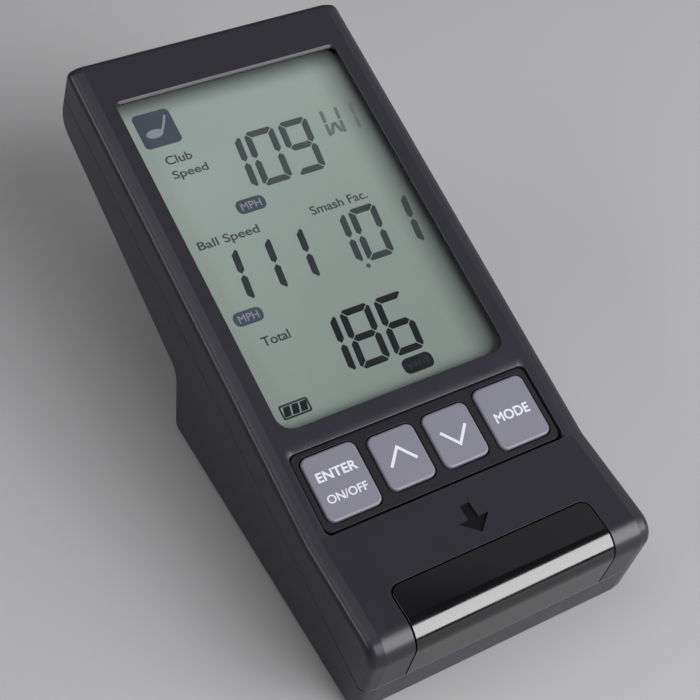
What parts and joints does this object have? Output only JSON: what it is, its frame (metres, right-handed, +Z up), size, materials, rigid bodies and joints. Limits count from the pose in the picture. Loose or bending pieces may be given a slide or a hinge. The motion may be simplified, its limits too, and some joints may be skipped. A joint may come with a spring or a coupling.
{
  "type": "launch monitor",
  "caption": "Pocket golf launch monitor: a wedge-shaped case with a tilted segment display, a row of keys below it, a dark radar window in front and a sliding battery cover.",
  "frame": {"origin": "centre of the object's footprint box, on the flat underside that it stands on", "axes": "+Z up, -Y towards the radar end that faces the ball, +Y towards the raised end of the display, +X across the keys from ENTER to MODE"},
  "size_m": [0.065, 0.1384, 0.0571],
  "materials": {
    "housing": "fine matte texture, dark charcoal",
    "radar_plastic": "smooth semi-gloss, near black",
    "key_plastic": "satin, lavender grey with white printed legends",
    "clear": "clear polished window",
    "glass": "grey-green liquid crystal cell",
    "film": "satin reflective film",
    "frame_plastic": "plain moulded",
    "rubber": "matte",
    "board": "green solder mask",
    "chip": "matte epoxy",
    "steel": "plated",
    "cell_wrap": "printed wrap, plain",
    "flex": "amber film cable",
    "red_wire": "insulated wire",
    "black_wire": "insulated wire"
  },
  "bodies": {
    "case": {"front_housing": "housing", "rear_housing": "housing", "keypad_bezel": "housing", "radar_window": "radar_plastic", "display_lens": "clear", "lcd_front_glass": "glass", "lcd_rear_glass": "glass", "lcd_reflector": "film", "lcd_holder": "frame_plastic", "radar_socket": "frame_plastic", "radar_carrier": "frame_plastic", "zebra_strip": "rubber", "keypad_mat": "rubber", "main_board": "board", "radar_board": "board", "processor": "chip", "lcd_driver": "chip", "power_inductor": "chip", "crystal": "steel", "capacitor": "steel", "radar_shield": "steel", "contact_negative": "steel", "contact_positive": "steel", "contact_bridge_1": "steel", "contact_bridge_2": "steel", "contact_bridge_3": "steel", "battery_spring_1": "steel", "battery_spring_2": "steel", "battery_spring_3": "steel", "battery_spring_4": "steel", "case_screw_1": "steel", "case_screw_2": "steel", "case_screw_3": "steel", "case_screw_4": "steel", "board_screw_1": "steel", "board_screw_2": "steel", "board_screw_3": "steel", "board_screw_4": "steel", "battery_1": "cell_wrap", "battery_2": "cell_wrap", "battery_3": "cell_wrap", "battery_4": "cell_wrap", "radar_flex": "flex", "lead_positive": "red_wire", "lead_negative": "black_wire"},
    "enter_key": {"enter_button": "key_plastic", "enter_core": "rubber"},
    "up_key": {"up_button": "key_plastic", "up_core": "rubber"},
    "down_key": {"down_button": "key_plastic", "down_core": "rubber"},
    "mode_key": {"mode_button": "key_plastic", "mode_core": "rubber"},
    "cover": {"battery_cover": "housing"}
  },
  "joints": [
    {"name": "enter_press", "type": "slide", "parent": "case", "child": "enter_key", "axis": [0, 0.2756, -0.9613], "range_m": [0, 0.0005], "stiffness_N_per_m": 1500},
    {"name": "up_press", "type": "slide", "parent": "case", "child": "up_key", "axis": [0, 0.2756, -0.9613], "range_m": [0, 0.0005], "stiffness_N_per_m": 1500},
    {"name": "down_press", "type": "slide", "parent": "case", "child": "down_key", "axis": [0, 0.2756, -0.9613], "range_m": [0, 0.0005], "stiffness_N_per_m": 1500},
    {"name": "mode_press", "type": "slide", "parent": "case", "child": "mode_key", "axis": [0, 0.2756, -0.9613], "range_m": [0, 0.0005], "stiffness_N_per_m": 1500},
    {"name": "cover_slide", "type": "slide", "parent": "case", "child": "cover", "axis": [0, 1, 0], "range_m": [0, 0.06]}
  ]
}
